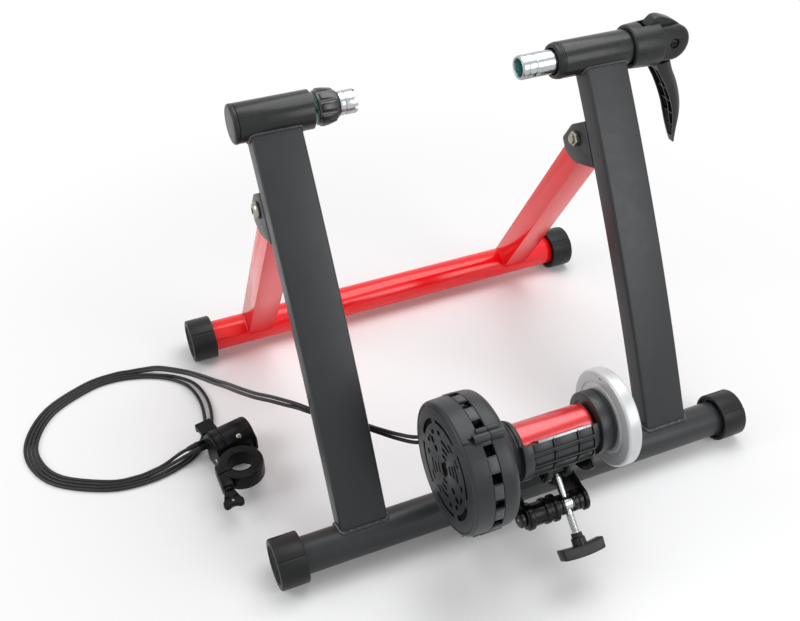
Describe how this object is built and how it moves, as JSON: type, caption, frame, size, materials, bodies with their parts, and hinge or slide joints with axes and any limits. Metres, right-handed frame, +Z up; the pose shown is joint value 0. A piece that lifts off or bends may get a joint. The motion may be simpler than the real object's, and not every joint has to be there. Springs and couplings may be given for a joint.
{
  "type": "magnetic bike trainer",
  "caption": "Folding stationary stand that clamps a bicycle's rear axle over a magnetic roller unit with a flywheel, a tension screw and a cable remote.",
  "frame": {"origin": "on the floor, under the middle of the trainer's footprint without its cables", "axes": "+X along the base tubes toward the quick lever, +Y from the roller unit toward the rear tube, +Z up"},
  "size_m": [0.7766, 0.5193, 0.419],
  "materials": {
    "base_tube": "satin black powder coat",
    "front_left_foot": "matte",
    "front_right_foot": "matte",
    "left_upright": "satin black powder coat",
    "right_upright": "satin black powder coat",
    "left_fold_bracket_inner": "satin black powder coat",
    "left_fold_bracket_outer": "satin black powder coat",
    "right_fold_bracket_inner": "satin black powder coat",
    "right_fold_bracket_outer": "satin black powder coat",
    "left_fold_bolt": "zinc plated",
    "left_fold_nut": "zinc plated",
    "right_fold_bolt": "zinc plated",
    "right_fold_nut": "zinc plated",
    "rear_left_leg": "gloss red paint",
    "rear_right_leg": "gloss red paint",
    "rear_tube": "gloss red paint",
    "rear_left_foot": "matte",
    "rear_right_foot": "matte",
    "left_axle_tube": "satin black powder coat",
    "right_axle_tube": "satin black powder coat",
    "left_tube_plug": "matte",
    "adjuster_nut": "zinc plated",
    "adjuster_knob": "matte",
    "adjuster_spindle": "zinc plated",
    "axle_cup": "bright plated",
    "right_tube_bush": "matte",
    "axle_plunger": "bright plated",
    "lever_housing": "matte",
    "lever_pin": "zinc plated",
    "cam_lever": "matte",
    "unit_bracket": "satin black powder coat",
    "bracket_bolt": "zinc plated",
    "swing_pin": "zinc plated",
    "bracket_bush_left": "matte",
    "bracket_bush_right": "matte",
    "trunnion": "bright plated",
    "drum_outer_cover": "matte",
    "drum_inner_cover": "matte",
    "left_bearing": "ground steel",
    "right_bearing": "ground steel",
    "roller_cradle": "matte",
    "guard_strip": "bright plated",
    "cable_gland": "matte",
    "roller": "satin red anodised",
    "roller_shaft": "ground steel",
    "flywheel": "silver grey paint",
    "flywheel_nut": "zinc plated",
    "brake_disc": "plain",
    "magnet_plate": "dark, matte",
    "rod_swivel": "zinc plated",
    "tension_rod": "bright plated",
    "tension_knob": "matte",
    "remote_body": "matte",
    "clamp_liner": "matte",
    "remote_lever": "matte",
    "thumbscrew": "matte",
    "upper_cable": "smooth cable skin",
    "lower_cable": "smooth cable skin",
    "cable_coil": "smooth cable skin"
  },
  "bodies": {
    "frame": {"base_tube": "base_tube", "front_left_foot": "front_left_foot", "front_right_foot": "front_right_foot", "left_upright": "left_upright", "right_upright": "right_upright", "left_fold_bracket_inner": "left_fold_bracket_inner", "left_fold_bracket_outer": "left_fold_bracket_outer", "right_fold_bracket_inner": "right_fold_bracket_inner", "right_fold_bracket_outer": "right_fold_bracket_outer", "left_fold_bolt": "left_fold_bolt", "left_fold_nut": "left_fold_nut", "right_fold_bolt": "right_fold_bolt", "right_fold_nut": "right_fold_nut", "left_axle_tube": "left_axle_tube", "right_axle_tube": "right_axle_tube", "left_tube_plug": "left_tube_plug", "adjuster_nut": "adjuster_nut", "right_tube_bush": "right_tube_bush", "lever_housing": "lever_housing", "lever_pin": "lever_pin", "unit_bracket": "unit_bracket", "bracket_bolt": "bracket_bolt", "swing_pin": "swing_pin", "bracket_bush_left": "bracket_bush_left", "bracket_bush_right": "bracket_bush_right", "remote_body": "remote_body", "clamp_liner": "clamp_liner", "upper_cable": "upper_cable", "lower_cable": "lower_cable", "cable_coil": "cable_coil"},
    "rear_frame": {"rear_left_leg": "rear_left_leg", "rear_right_leg": "rear_right_leg", "rear_tube": "rear_tube", "rear_left_foot": "rear_left_foot", "rear_right_foot": "rear_right_foot"},
    "lever": {"cam_lever": "cam_lever"},
    "plunger": {"axle_plunger": "axle_plunger"},
    "cup": {"axle_cup": "axle_cup"},
    "knob": {"adjuster_knob": "adjuster_knob", "adjuster_spindle": "adjuster_spindle"},
    "unit": {"drum_outer_cover": "drum_outer_cover", "drum_inner_cover": "drum_inner_cover", "left_bearing": "left_bearing", "right_bearing": "right_bearing", "roller_cradle": "roller_cradle", "guard_strip": "guard_strip", "cable_gland": "cable_gland"},
    "roller_set": {"roller": "roller", "roller_shaft": "roller_shaft", "flywheel": "flywheel", "flywheel_nut": "flywheel_nut", "brake_disc": "brake_disc"},
    "magnets": {"magnet_plate": "magnet_plate"},
    "swivel": {"rod_swivel": "rod_swivel"},
    "screw": {"tension_rod": "tension_rod", "tension_knob": "tension_knob"},
    "cross_pin": {"trunnion": "trunnion"},
    "selector": {"remote_lever": "remote_lever"},
    "clamp_screw": {"thumbscrew": "thumbscrew"}
  },
  "joints": [
    {"name": "rear_fold", "type": "hinge", "parent": "frame", "child": "rear_frame", "pos_m": [0, 0.0673, 0.3022], "axis": [-1, 0, 0], "range_deg": [0, 58]},
    {"name": "lever_swing", "type": "hinge", "parent": "frame", "child": "lever", "pos_m": [0.2645, 0.0841, 0.3888], "axis": [0, -1, 0], "range_deg": [0, 100]},
    {"name": "plunger_slide", "type": "slide", "parent": "frame", "child": "plunger", "axis": [1, 0, 0], "range_m": [0, 0.008]},
    {"name": "cup_slide", "type": "slide", "parent": "frame", "child": "cup", "axis": [1, 0, 0], "range_m": [-0.004, 0.012]},
    {"name": "knob_turn", "type": "hinge", "parent": "cup", "child": "knob", "pos_m": [-0.125, 0.0841, 0.3888], "axis": [1, 0, 0], "range_deg": [-730, 2170]},
    {"name": "unit_swing", "type": "hinge", "parent": "frame", "child": "unit", "pos_m": [0, -0.134, 0.092], "axis": [1, 0, 0], "range_deg": [-4, 7]},
    {"name": "roller_spin", "type": "hinge", "parent": "unit", "child": "roller_set", "pos_m": [0, -0.18, 0.1446], "axis": [1, 0, 0], "continuous": true},
    {"name": "magnet_turn", "type": "hinge", "parent": "unit", "child": "magnets", "pos_m": [-0.096, -0.18, 0.1446], "axis": [1, 0, 0], "range_deg": [0, 30]},
    {"name": "rod_tilt", "type": "hinge", "parent": "unit", "child": "swivel", "pos_m": [0, -0.1863, 0.1038], "axis": [1, 0, 0], "range_deg": [-15, 9]},
    {"name": "screw_turn", "type": "hinge", "parent": "swivel", "child": "screw", "pos_m": [0, -0.1863, 0.1038], "axis": [0, 0.7664, 0.6424], "range_deg": [-540, 940]},
    {"name": "cross_pin_tilt", "type": "hinge", "parent": "frame", "child": "cross_pin", "pos_m": [0, -0.2135, 0.081], "axis": [1, 0, 0], "range_deg": [-8, 5]},
    {"name": "selector_turn", "type": "hinge", "parent": "frame", "child": "selector", "pos_m": [-0.264, 0.053, 0.025], "axis": [0.9744, 0.225, 0], "range_deg": [0, 60]},
    {"name": "thumbscrew_turn", "type": "hinge", "parent": "frame", "child": "clamp_screw", "pos_m": [-0.287, -0.022, 0.03], "axis": [0, 1, 0], "continuous": true}
  ],
  "couplings": [
    {"joint": "plunger_slide", "follows": "lever_swing", "m_per_rad": 0.0045837},
    {"joint": "knob_turn", "follows": "cup_slide", "rad_per_m": 3141.6},
    {"joint": "rod_tilt", "follows": "unit_swing", "ratio": -2.03},
    {"joint": "cross_pin_tilt", "follows": "unit_swing", "ratio": -1.03},
    {"joint": "screw_turn", "follows": "unit_swing", "ratio": 134},
    {"joint": "magnet_turn", "follows": "selector_turn", "ratio": 0.5}
  ]
}
